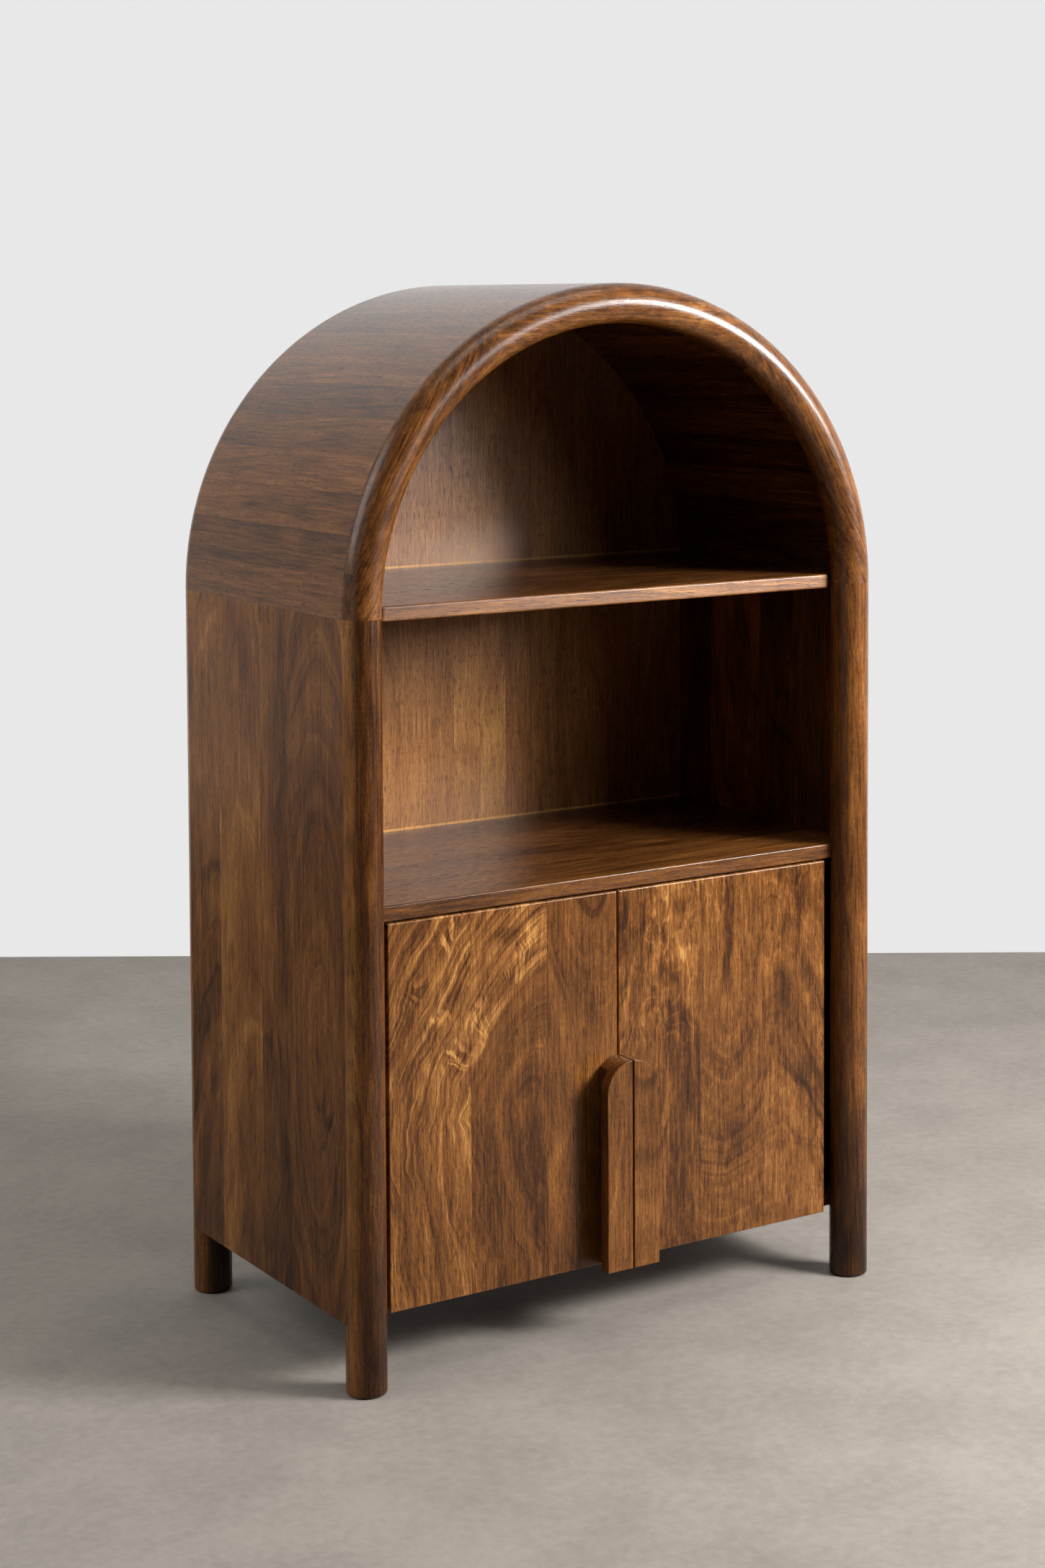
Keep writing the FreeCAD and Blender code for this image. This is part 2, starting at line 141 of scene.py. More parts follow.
# Node graphs
class Graph:
    """Adds nodes to a tree; every input takes a number or another node's output."""

    def __init__(self, tree):
        self.tree = tree

    def node(self, kind, inputs=None, **options):
        made = self.tree.nodes.new(kind)
        for name, value in options.items():
            setattr(made, name, value)
        for key, value in (inputs or {}).items():
            self.feed(made.inputs[key], value)
        return made

    def feed(self, socket, value):
        if isinstance(value, bpy.types.NodeSocket):
            self.tree.links.new(value, socket)
        else:
            socket.default_value = value

    def calc(self, operation, a, b=0.0):
        return self.node("ShaderNodeMath", {0: a, 1: b}, operation=operation).outputs[0]

    def add(self, a, b):
        return self.calc("ADD", a, b)

    def sub(self, a, b):
        return self.calc("SUBTRACT", a, b)

    def mul(self, a, b):
        return self.calc("MULTIPLY", a, b)

    def total(self, *terms):
        result = terms[0]
        for term in terms[1:]:
            result = self.add(result, term)
        return result

    def product(self, *terms):
        result = terms[0]
        for term in terms[1:]:
            result = self.mul(result, term)
        return result

    def size(self, value):
        return self.calc("ABSOLUTE", value)

    def past(self, value, limit):
        return self.calc("GREATER_THAN", value, limit)

    def short_of(self, value, limit):
        return self.calc("LESS_THAN", value, limit)

    def hypot(self, a, b):
        return self.calc("SQRT", self.add(self.mul(a, a), self.mul(b, b)))

    def swing(self, value, amount):
        """A 0 to 1 value as a swing of plus or minus half the amount."""
        return self.mul(self.sub(value, 0.5), amount)

    def fade(self, value, start, end):
        """0 before start and 1 after end; the other way round where start is the larger."""
        return self.node("ShaderNodeMapRange", {"Value": value, "From Min": start, "From Max": end},
                         interpolation_type="SMOOTHSTEP").outputs[0]

    def blend(self, factor, a, b):
        """a at factor 0, b at factor 1."""
        return self.add(a, self.mul(factor, self.sub(b, a)))

    def vein(self, value):
        """1 on thin lines where a 0 to 1 value passes its middle."""
        return self.fade(self.size(self.sub(value, 0.5)), 0.045, 0.008)

    def point(self, x, y, z):
        return self.node("ShaderNodeCombineXYZ", {0: x, 1: y, 2: z}).outputs[0]

    def parts(self, vector):
        return self.node("ShaderNodeSeparateXYZ", {0: vector}).outputs

    def noise(self, x, y, z, detail=0.0, roughness=0.5, distortion=0.0):
        made = self.node("ShaderNodeTexNoise", {"Vector": self.point(x, y, z), "Scale": 1.0, "Detail": detail,
                                                "Roughness": roughness, "Distortion": distortion})
        return made.outputs[0]

    def scaled_noise(self, place, scale, **options):
        """Noise with a scale of its own in each direction."""
        return self.noise(*(self.mul(value, factor) for value, factor in zip(place, scale)), **options)

    def panel_noise(self, x, z, scale, seed, **options):
        """Noise on an upright panel, with a scale across and one along."""
        return self.noise(self.mul(x, scale[0]), seed, self.mul(z, scale[1]), **options)

    def chance(self, number):
        """Three random numbers for a whole number."""
        made = self.node("ShaderNodeTexWhiteNoise", {"W": number}, noise_dimensions="1D")
        return self.parts(made.outputs["Color"])

    def ramp(self, value, stops):
        made = self.node("ShaderNodeValToRGB", {0: value})
        band = made.color_ramp
        band.elements.remove(band.elements[1])
        band.elements[0].position, band.elements[0].color = stops[0][0], (*stops[0][1], 1.0)
        for place, colour in stops[1:]:
            band.elements.new(place).color = (*colour, 1.0)
        return made.outputs[0]

    def object_place(self):
        return self.parts(self.node("ShaderNodeTexCoord").outputs["Object"])

    def rings(self, across, along, depth, board):
        """Distance from the heart of the tree that a board was sawn from."""
        made = self.node("ShaderNodeGroup", {"Across": across, "Along": along, "Depth": depth, "Board": board},
                         node_tree=ring_group())
        return made.outputs["Ring"]

    def surface(self, shader):
        self.node("ShaderNodeOutputMaterial", {"Surface": shader.outputs[0]})

    def seen(self):
        """1 where the camera sees a surface, also in a mirror or through glass; 0 for light that it scatters."""
        path = self.node("ShaderNodeLightPath").outputs
        mirrored = self.calc("MAXIMUM", path["Is Glossy Ray"], path["Is Transmission Ray"])
        return self.calc("MAXIMUM", path["Is Camera Ray"], mirrored)

    def tinted(self, factor, a, b):
        made = self.node("ShaderNodeMix", {0: factor}, data_type="RGBA")
        for key, colour in ((6, a), (7, b)):
            self.feed(made.inputs[key], colour if isinstance(colour, bpy.types.NodeSocket) else (*colour, 1.0))
        return made.outputs[2]


def group_tree(name, kind, inputs, outputs):
    """An empty node group with named sockets, each a label, a type and a default."""
    tree = bpy.data.node_groups.new(name, kind)
    for in_out, sockets in (("INPUT", inputs), ("OUTPUT", outputs)):
        for label, socket_type, default in sockets:
            socket = tree.interface.new_socket(name=label, in_out=in_out, socket_type=socket_type)
            if default is not None:
                socket.default_value = default
    return tree


FLOAT = "NodeSocketFloat"


def ring_group():
    """Rings of a tree: each board number has its own place and lean in the trunk."""
    tree = bpy.data.node_groups.get("heart_rings")
    if tree:
        return tree
    tree = group_tree("heart_rings", "ShaderNodeTree",
                      [(n, FLOAT, 0.0) for n in ("Across", "Along", "Depth", "Board")], [("Ring", FLOAT, None)])
    g = Graph(tree)
    given = g.node("NodeGroupInput").outputs
    across, along, depth, board = (given[n] for n in ("Across", "Along", "Depth", "Board"))
    off, deep, lean = g.chance(g.add(board, 0.5))
    drift = g.swing(g.noise(g.mul(along, 1.6), g.mul(board, 7.3), 2.0, detail=1.0), 0.06)
    side = g.total(across, g.swing(off, 0.14), drift)
    down = g.total(depth, g.mul(deep, 0.07), g.mul(g.swing(lean, 0.22), along), 0.018)
    g.node("NodeGroupOutput", {"Ring": g.hypot(side, down)})
    return tree


def wood_group():
    """Stained hardwood: growth bands, fibres, pores and cloudy tone, from the place in a board in metres."""
    tree = bpy.data.node_groups.get("stained_hardwood")
    if tree:
        return tree
    tree = group_tree(
        "stained_hardwood", "ShaderNodeTree",
        [(n, FLOAT, 0.0) for n in ("Ring", "Across", "Along", "Depth", "Board", "Tone")] + [("Contrast", FLOAT, 1.0)],
        [("Color", "NodeSocketColor", None), ("Roughness", FLOAT, None), ("Height", FLOAT, None)])
    g = Graph(tree)
    given = g.node("NodeGroupInput").outputs
    ring, across, along, depth, board, tone, contrast = (
        given[n] for n in ("Ring", "Across", "Along", "Depth", "Board", "Tone", "Contrast"))
    wood = settings().wood
    shift = g.mul(g.chance(board)[0], 37.0)
    near_along = g.add(along, shift)

    def grained(wide, long, **options):
        """Noise stretched along the grain."""
        return g.scaled_noise((across, near_along, depth), (wide, long, wide), **options)

    sway = grained(6.0, 2.2, detail=1.0)
    ripple = grained(44.0, 12.0)
    layer = g.total(ring, g.swing(sway, 0.030), g.swing(ripple, 0.005), shift)

    def layered(fine, long, seed, **options):
        """Noise that changes from ring to ring."""
        return g.noise(g.mul(layer, fine), g.mul(near_along, long), seed, **options)

    broad = layered(28.0, 0.9, 1.0, detail=1.0)
    bands = layered(88.0, 1.6, 2.0, detail=3.0, roughness=0.6)
    lines = layered(270.0, 6.0, 4.0, detail=2.0, roughness=0.6)
    thin_dark = g.fade(lines, 0.43, 0.31)
    thin_light = g.fade(lines, 0.57, 0.69)
    cloud = grained(11.0, 4.0, detail=3.0)
    mottle = grained(36.0, 11.0, detail=2.0, distortion=0.4)
    fibre = grained(340.0, 14.0, detail=3.0, roughness=0.65)
    pores = g.fade(grained(820.0, 62.0, detail=1.0), 0.56, 0.70)
    grit = grained(900.0, 210.0, detail=2.0, roughness=0.7)

    figure = g.total(g.swing(broad, 0.4), g.swing(bands, 0.8), g.swing(cloud, 0.5), g.swing(mottle, 0.3),
                     g.mul(thin_light, 0.16), g.mul(thin_dark, -0.19))
    level = g.total(g.mul(figure, contrast), g.swing(fibre, 0.65), g.swing(grit, 0.45), tone, 0.47)
    colour = g.ramp(level, [(0.02, wood.heart), (0.26, wood.dark), (0.48, wood.body), (0.70, wood.light),
                            (0.98, wood.gold)])
    stained = g.tinted(g.mul(pores, 0.65), colour, wood.heart)
    rough = g.total(g.swing(fibre, 0.14), g.mul(pores, 0.10), 0.25)
    height = g.sub(g.mul(fibre, 0.5), pores)
    g.node("NodeGroupOutput", {"Color": stained, "Roughness": rough, "Height": height})
    return tree


# Painted lines: distance at which each starts to show, and at which it is full
GLUE_LINE = (0.0007, 0.0002)
# Front edge of a shelf: its tone there is painted light and shade, its dullness a duller sheen
SHELF_EDGE = (0.0045, 0.0005)
# Painted highlight: a pale line on the back just above each shelf
SHELF_HIGHLIGHT, SHELF_HIGHLIGHT_RISE = (0.0022, 0.0010), 0.0016
# Wear with a painted highlight along the rim of each door panel
RUBBED_AND_HIGHLIT_RIM = (0.0026, 0.0008)


def glue_line(g, distance):
    """Darker tone in the hairline where two boards meet."""
    return g.mul(g.fade(g.size(distance), *GLUE_LINE), -0.16)


def board_rows(g, value, edges, tones, first=0.0):
    """Board number, tone and place from the board's middle line, for boards that meet at the inner edges."""
    number, tone, middle = first, tones[0], (edges[0] + edges[1]) / 2
    for k in range(1, len(edges) - 1):
        past = g.past(value, edges[k])
        number = g.add(number, past)
        tone = g.add(tone, g.mul(past, tones[k] - tones[k - 1]))
        tone = g.add(tone, glue_line(g, g.sub(value, edges[k])))
        middle = g.add(middle, g.mul(past, (edges[k + 1] - edges[k - 1]) / 2))
    return number, tone, g.sub(value, middle)


def blank_material(name):
    """A new material without nodes, and its graph."""
    material = bpy.data.materials.new(name)
    material.use_nodes = True
    material.node_tree.nodes.clear()
    return material, Graph(material.node_tree)


def wood_material(name, grain, contrast=1.0, dull=0.0, gloss=0.75):
    """A lacquered wood whose grain function gives the place in the board from Object coordinates."""
    wood = settings().wood
    material, g = blank_material(name)
    found = grain(g, *g.object_place())
    dull = found.pop("Dull", dull)
    if "Ring" not in found:
        found["Ring"] = g.rings(found["Across"], found["Along"], found["Depth"], found["Board"])
    figure = g.node("ShaderNodeGroup", node_tree=wood_group())
    found.setdefault("Contrast", contrast)
    for key, value in found.items():
        g.feed(figure.inputs[key], value)
    bump = g.node("ShaderNodeBump", {"Strength": 0.22, "Distance": 0.0004, "Height": figure.outputs["Height"]})
    shader = g.node("ShaderNodeBsdfPrincipled", {
        "Base Color": figure.outputs["Color"], "Roughness": g.add(figure.outputs["Roughness"], dull),
        "Normal": bump.outputs["Normal"], "Specular IOR Level": 0.32 * gloss, "Coat Weight": wood.lacquer * gloss,
        "Coat Roughness": wood.lacquer_roughness})
    g.surface(shader)
    return material


# First board number of each kind of piece; a number picks the board's place in the trunk and its tone
POST_BOARD, RAIL_BOARD, STAVE_BOARD, BACK_BOARD = 11.0, 20.0, 30.0, 90.0
FLOOR_BOARD, DOWEL_BOARD, PULL_BOARD = 130.0, 140.0, 170.0
LEFT_DOOR_BOARD, RIGHT_DOOR_BOARD = 150.0, 160.0


# Grain of each kind of piece: place in metres in the frame of the shelf
def upright_grain(g, x, y, z):
    """Four turned posts; a painted sheen makes the left ones paler toward their outer side, and painted shade darkens
    all toward the foot.
    """
    right = g.past(x, 0.0)
    rear = g.past(y, 0.0)
    facing = g.calc("ARCTAN2", g.add(x, REAR_POST.x), g.sub(g.blend(rear, FRONT_POST.y, REAR_POST.y), y))
    # Painted sheen: the left posts are paler toward their outer side
    pale = g.mul(g.fade(facing, -0.40, -1.10), g.sub(1.0, right))
    # Painted shade: every post is darker toward the foot
    foot = g.fade(z, 0.35, 0.05)
    mottle = g.scaled_noise((x, y, z), (42.0, 42.0, 15.0), detail=3.0, distortion=0.6)
    tone = g.total(g.blend(right, -0.20, -0.08), g.mul(pale, 0.36), g.mul(foot, g.blend(right, -0.17, -0.24)),
                   g.swing(mottle, 0.34))
    board = g.total(right, g.mul(rear, 2.0), POST_BOARD)
    return {"Across": x, "Along": z, "Depth": y, "Board": board, "Tone": tone}


def rail_grain(turn, board):
    """Grain along the middle of an arch segment, which is sawn from a straight plank turned to its chord."""
    along_x, along_z = math.cos(turn), math.sin(turn)

    def grain(g, x, y, z):
        along = g.add(g.mul(x, along_x), g.mul(z, along_z))
        across = g.sub(g.mul(z, along_x), g.mul(x, along_z))
        mottle = g.scaled_noise((along, across, y), (38.0, 75.0, 75.0), detail=3.0, distortion=0.8)
        return {"Across": across, "Along": along, "Depth": y, "Board": board,
                "Tone": g.add(g.swing(mottle, 0.42), -0.10)}
    return grain


def vault_grain(g, x, y, z):
    """Staves of many tones; painted shade makes the inner face darker at the right."""
    rise = g.sub(z, SPRING_HEIGHT)
    angle = g.calc("ARCTAN2", rise, x)
    radius = g.hypot(rise, x)
    stave = g.node("ShaderNodeAttribute", attribute_name="stave").outputs["Fac"]
    staves = settings().vault.staves
    place = g.sub(g.calc("FRACT", g.mul(angle, staves / math.pi)), 0.5)
    edge = g.mul(g.sub(0.5, g.size(place)), VAULT_HIGH.x * math.pi / staves)
    # Painted shade: the inner face is darker toward the right
    inner = g.mul(g.fade(radius, VAULT_HIGH.x - 0.004, VAULT_HIGH.x - 0.006), g.fade(x, 0.05, 0.25))
    tone = g.total(g.swing(g.chance(g.add(stave, 60.0))[1], 0.20), g.mul(glue_line(g, edge), 0.5),
                   g.mul(inner, -0.12))
    return {"Across": g.mul(angle, VAULT_HIGH.x), "Along": y, "Depth": g.sub(radius, VAULT_HIGH.x),
            "Board": g.add(stave, STAVE_BOARD), "Tone": g.add(tone, -0.06)}


def spot(g, x, z, place, size):
    """1 at a place on a panel, fading to 0 at the rim of an oval of that half size."""
    across = g.mul(g.sub(x, place[0]), 1 / size[0])
    along = g.mul(g.sub(z, place[1]), 1 / size[1])
    return g.fade(g.hypot(across, along), 1.0, 0.15)


def spots(g, x, z, marks):
    """Sum of spots, each a place, a half size and a tone."""
    return g.total(*(g.mul(spot(g, x, z, place, size), tone) for place, size, tone in marks))


SIDE_EDGES = (-0.2095, -0.067, 0.008, 0.126, 0.2135)
SIDE_MIDDLE = 0.395
SIDE_INNER = 0.391
# Sides: first board number, painted shade of the inner face, apex of the cathedral figure
SIDES = {"left": (70.0, 0.0, (-0.140, 0.40)), "right": (74.0, -0.20, (-0.195, 0.75))}
# Marks on a panel: place, half size and tone of each
SIDE_MARKS = (
    ((0.050, 0.870), (0.022, 0.055), -0.16), ((-0.168, 0.322), (0.012, 0.022), -0.20),
    ((-0.075, 0.450), (0.010, 0.300), 0.08))


def side_grain(first, shade, apex):
    """Four boards: a cathedral figure on the front one, a dark swirl near the top of the third; painted shade darkens
    the inner face by a given amount and the panels toward the bottom, and painted light makes them paler toward the
    top.
    """
    def grain(g, x, y, z):
        number, tone, across = board_rows(g, y, SIDE_EDGES, (-0.05, -0.10, 0.10, -0.06), first)
        wave = g.swing(g.panel_noise(y, z, (12.0, 6.0), 3.0, detail=2.0), 0.05)
        marks = spots(g, g.add(y, wave), g.add(z, wave), SIDE_MARKS)
        front = g.short_of(y, SIDE_EDGES[1])
        # Painted shade: the inner face is darker by the given amount
        inner = g.short_of(g.size(x), SIDE_INNER)
        arches = g.hypot(g.total(y, -apex[0], wave), g.mul(g.sub(z, apex[1]), 0.26))
        # Painted shade darkens the panels toward the bottom, and painted light makes them paler toward the top
        return {"Ring": g.blend(front, g.rings(across, z, x, number), arches), "Across": across, "Along": z,
                "Depth": g.sub(g.size(x), SIDE_MIDDLE), "Board": number, "Contrast": g.blend(front, 0.85, 0.62),
                "Tone": g.total(tone, g.mul(inner, shade), marks, g.mul(g.fade(z, 0.60, 0.12), -0.10),
                                g.mul(g.fade(z, 0.60, 0.90), 0.05))}
    return grain


BACK_WIDTH = 0.78
BACK_PITCH = BACK_WIDTH / 18
BACK_MIDDLE = 0.2075
BACK_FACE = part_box("back_boards")[0][1]
SHELF_TOPS = tuple(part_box(name)[1][2] for name in ("upper_shelf", "lower_shelf"))


def back_grain(g, x, y, z):
    """Narrow boards; on the inner face a painted highlight as a pale line above each shelf, painted shade darker at
    the right, and painted light paler low at the left.
    """
    place = g.mul(g.add(x, BACK_WIDTH / 2), 1.0 / BACK_PITCH)
    number = g.calc("FLOOR", place)
    across = g.mul(g.sub(g.sub(place, number), 0.5), BACK_PITCH)
    edge = g.sub(BACK_PITCH / 2, g.size(across))
    tone = g.add(g.swing(g.chance(g.add(number, 5.0))[2], 0.14), glue_line(g, edge))
    inner = g.short_of(y, BACK_FACE + 0.001)
    # Painted highlight: a pale line on the inner face just above each shelf
    for top in SHELF_TOPS:
        line = g.fade(g.size(g.sub(z, top + SHELF_HIGHLIGHT_RISE)), *SHELF_HIGHLIGHT)
        tone = g.add(tone, g.product(line, inner, 0.40))
    # Painted shade darkens the inner face toward the right; painted light makes it paler low at the left
    return {"Across": across, "Along": z, "Depth": g.sub(y, BACK_MIDDLE), "Board": g.add(number, BACK_BOARD),
            "Tone": g.total(tone, g.blend(g.mul(g.fade(x, 0.02, 0.24), inner), 0.22, 0.08),
                            g.product(inner, g.fade(x, -0.05, -0.25), g.fade(z, 0.92, 0.80), 0.07))}


SHELF_FRONT, SHELF_REAR = -0.204, 0.2015
# Shelves: joints between the boards, first board number, middle height, tone of the front edge as painted light on
# the upper shelf and painted shade on the lower, dullness of the front edge, gloss
SHELVES = {
    "upper_shelf": ((-0.0915, 0.0062, 0.1038), 100.0, 0.946, 0.14, 0.20, 1.5),
    "lower_shelf": ((-0.107, -0.0042, 0.0987), 110.0, 0.581, -0.05, 0.05, 1.0),
}


def shelf_grain(edges, first, level, edge_light_and_shade, edge_dull):
    """Four boards, the front one with an edge of its own sheen and a given tone of painted light and shade."""
    def grain(g, x, y, z):
        number, tone, across = board_rows(g, y, edges, (-0.10, -0.19, -0.09, -0.16), first)
        edge = g.fade(y, edges[0] + SHELF_EDGE[0], edges[0] + SHELF_EDGE[1])
        # The front edge's tone is painted light on the upper shelf and painted shade on the lower
        return {"Across": across, "Along": x, "Depth": g.sub(z, level), "Board": number,
                "Tone": g.add(tone, g.mul(edge, edge_light_and_shade)), "Dull": g.mul(edge, edge_dull)}
    return grain


def cupboard_floor_grain(g, x, y, z):
    """One plain board with its grain from side to side."""
    return {"Across": y, "Along": x, "Depth": z, "Board": FLOOR_BOARD, "Tone": -0.05}


def dowel_grain(g, x, y, z):
    """Pale plain pegs."""
    return {"Across": g.add(x, y), "Along": z, "Depth": y, "Board": DOWEL_BOARD, "Tone": 0.18}


LEFT_DOOR_EDGES = (-0.3375, -0.2205, -0.1075, -0.00125)
# Dark eye of the left door: middle line, foot of its round top, half width and height
EYE_X, EYE_Z, EYE_WIDE, EYE_HIGH = -0.1475, 0.310, 0.100, 0.190
LEFT_DOOR_COMBS = (
    ((-0.255, 0.537), (0.024, 0.026), 1.0), ((-0.240, 0.560), (0.026, 0.014), 0.8),
    ((-0.262, 0.444), (0.022, 0.018), 0.9), ((-0.243, 0.389), (0.030, 0.030), 1.0),
    ((-0.145, 0.509), (0.020, 0.024), 1.0), ((-0.158, 0.482), (0.024, 0.018), 0.9),
    ((-0.128, 0.528), (0.014, 0.030), 0.7), ((-0.205, 0.430), (0.022, 0.050), 0.5),
    ((-0.298, 0.480), (0.018, 0.030), 0.5))
LEFT_DOOR_MARKS = (
    ((-0.147, 0.308), (0.030, 0.040), 0.07), ((-0.170, 0.535), (0.030, 0.013), -0.16),
    ((-0.090, 0.255), (0.014, 0.045), 0.06))
RIGHT_DOOR_EDGES = (0.00125, 0.081, 0.1295, 0.2335, 0.3375)
# Right door: line of the heart streak, and the height under which the bowls hang
HEART_X, BOWL_Z = 0.1775, 0.40
RIGHT_DOOR_MARKS = (
    ((0.012, 0.510), (0.014, 0.050), -0.08), ((0.070, 0.500), (0.013, 0.016), -0.18),
    ((0.070, 0.460), (0.011, 0.013), -0.16), ((0.095, 0.535), (0.016, 0.016), -0.16),
    ((0.100, 0.475), (0.022, 0.024), 0.14), ((0.180, 0.220), (0.040, 0.055), -0.12),
    ((0.295, 0.520), (0.014, 0.060), -0.13), ((0.335, 0.330), (0.016, 0.30), 0.08),
    ((0.105, 0.200), (0.034, 0.170), 0.07))


def rubbed_and_highlit(g, x, z, node):
    """Paler tone at the rim of an upright panel: wear from hands and cloths, and a painted highlight along the edge.
    """
    low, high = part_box(node)
    inset = g.calc("MINIMUM", g.calc("MINIMUM", g.sub(x, low[0]), g.sub(high[0], x)),
                   g.calc("MINIMUM", g.sub(z, low[2]), g.sub(high[2], z)))
    return g.mul(g.fade(inset, *RUBBED_AND_HIGHLIT_RIM), 0.13)


def left_door_grain(g, x, y, z):
    """Two crotch boards with flame figure over a plain dark eye, and a plain board beside the pull."""
    number, tone, across = board_rows(g, x, LEFT_DOOR_EDGES, (0.03, 0.0, -0.07), LEFT_DOOR_BOARD)
    figured = g.short_of(x, LEFT_DOOR_EDGES[2])
    second = g.mul(figured, g.past(x, LEFT_DOOR_EDGES[1]))
    wave = g.swing(g.panel_noise(x, z, (14.0, 14.0), 3.0, detail=2.0), 0.045)
    rise = g.sub(z, EYE_Z)
    above = g.calc("MAXIMUM", rise, 0.0)
    below = g.calc("MINIMUM", rise, 0.0)
    u = g.mul(g.total(x, -EYE_X, g.mul(above, -0.35), g.mul(below, 0.20), wave), 1 / EYE_WIDE)
    v = g.mul(g.add(above, wave), 1 / EYE_HIGH)
    oval = g.hypot(u, v)
    inside = g.mul(g.fade(oval, 1.03, 0.97), second)
    eye = g.sub(oval, g.mul(second, 0.23))
    turn = g.add(g.calc("ARCTAN2", v, g.mul(u, -1.0)), g.mul(second, 0.31))
    outside = g.sub(figured, inside)
    flame = g.mul(outside, g.fade(z, 0.19, 0.36))
    fleck = g.noise(g.mul(eye, 3.0), g.mul(turn, 46.0), 2.0, detail=1.0)
    ragged = g.add(x, g.swing(g.panel_noise(x, z, (60.0, 60.0), 2.0, detail=1.0), 0.03))
    combs = spots(g, ragged, z, LEFT_DOOR_COMBS)
    glow = g.panel_noise(x, z, (26.0, 20.0), 6.0, detail=2.0)
    hairs = g.noise(g.mul(eye, 44.0), g.mul(turn, 3.0), 5.0, detail=2.0)
    rim = g.product(g.fade(g.size(g.sub(oval, 1.06)), 0.055, 0.015), second, g.fade(z, 0.33, 0.38))
    sweep = g.add(g.mul(turn, 1.2), g.mul(below, 4.0))
    arcs = g.noise(g.mul(eye, 12.0), sweep, 8.0, detail=3.0, roughness=0.65)
    veins = g.sub(g.vein(g.noise(g.mul(eye, 9.0), sweep, 3.0, detail=1.0)),
                  g.mul(g.vein(g.noise(g.mul(eye, 7.0), sweep, 15.0, detail=1.0)), 0.5))
    pale = g.sub(x, g.add(g.mul(g.sub(z, 0.275), 0.567), -0.075))
    slant = g.product(g.fade(g.size(g.add(pale, g.mul(wave, 0.4))), 0.012, 0.002), g.fade(z, 0.10, 0.17),
                      g.fade(z, 0.30, 0.24))
    marks = spots(g, g.add(x, g.mul(wave, 0.4)), z, LEFT_DOOR_MARKS)
    tone = g.total(tone, g.product(flame, combs, g.sub(g.mul(g.fade(fleck, 0.47, 0.59), 0.48), 0.13)),
                   g.product(flame, g.swing(glow, 0.46)), g.product(outside, g.swing(hairs, 0.26)),
                   g.product(g.add(outside, flame), veins, 0.065),
                   g.product(g.blend(flame, g.mul(outside, 0.6), 2.0), g.swing(arcs, 0.36)), g.mul(rim, 0.07),
                   g.mul(inside, -0.09), g.mul(slant, 0.07), marks, rubbed_and_highlit(g, x, z, "left_door_boards"))
    rings = g.rings(across, z, y, number)
    return {"Ring": g.blend(figured, rings, g.mul(eye, 0.1)), "Across": x, "Along": z, "Depth": y,
            "Board": number, "Tone": tone, "Contrast": g.total(0.56, g.mul(outside, 0.20), g.mul(flame, 0.14))}


def right_door_grain(g, x, y, z):
    """Streaked outer boards, a swirled strip, and a board with a dark heart streak over faint bowls."""
    number, tone, across = board_rows(g, x, RIGHT_DOOR_EDGES, (-0.02, -0.08, -0.03, 0.0), RIGHT_DOOR_BOARD)
    outer = g.past(x, RIGHT_DOOR_EDGES[2])
    third = g.mul(outer, g.short_of(x, RIGHT_DOOR_EDGES[3]))
    wave = g.swing(g.panel_noise(x, z, (16.0, 9.0), 7.0, detail=2.0), 0.03)
    drift = g.swing(g.panel_noise(x, z, (5.0, 12.0), 9.0, detail=1.0), 0.05)
    side = g.add(g.sub(x, HEART_X), wave)
    below = g.calc("MINIMUM", g.sub(z, BOWL_Z), 0.0)
    bowl = g.hypot(side, g.mul(below, 0.55))
    streak = g.product(g.fade(g.size(g.add(side, drift)), 0.011, 0.003), g.fade(z, 0.39, 0.45), third)
    smoke = g.panel_noise(x, z, (40.0, 16.0), 5.0, detail=2.0)
    swirl = g.panel_noise(x, z, (54.0, 24.0), 4.0, detail=4.0, distortion=1.6)
    veins = g.vein(g.panel_noise(x, z, (36.0, 17.0), 11.0, detail=1.0, distortion=1.5))
    golden = g.product(g.fade(x, 0.026, 0.050), g.fade(x, 0.140, 0.120), g.fade(z, 0.29, 0.40))
    curl = g.panel_noise(x, z, (75.0, 26.0), 8.0, detail=4.0, roughness=0.6, distortion=1.2)
    fleck = g.panel_noise(x, z, (120.0, 30.0), 6.0, detail=2.0, distortion=1.0)
    beside = g.calc("MAXIMUM", g.mul(g.fade(z, 0.47, 0.54), outer),
                    g.mul(g.fade(z, 0.30, 0.40), g.short_of(x, RIGHT_DOOR_EDGES[1])))
    flecked = g.mul(beside, g.fade(fleck, 0.52, 0.64))
    marks = spots(g, g.add(x, g.mul(wave, 0.5)), g.add(z, wave), RIGHT_DOOR_MARKS)
    tone = g.total(tone, g.product(streak, g.add(smoke, 0.3), -0.30),
                   g.product(golden, g.add(g.swing(swirl, 0.66), g.mul(veins, 0.13))),
                   g.mul(golden, -0.02), g.mul(flecked, 0.15), g.product(g.sub(1.0, golden), g.swing(curl, 0.52)),
                   marks, rubbed_and_highlit(g, x, z, "right_door_boards"))
    rings = g.rings(across, z, y, number)
    return {"Ring": g.blend(third, rings, bowl), "Across": x, "Along": z, "Depth": y,
            "Board": number, "Tone": tone, "Contrast": g.sub(0.92, g.mul(third, 0.50))}


def pull_grain(board):
    """Upright grain of a pull, one board number each."""
    def grain(g, x, y, z):
        return {"Across": x, "Along": z, "Depth": y, "Board": board, "Tone": -0.05}
    return grain


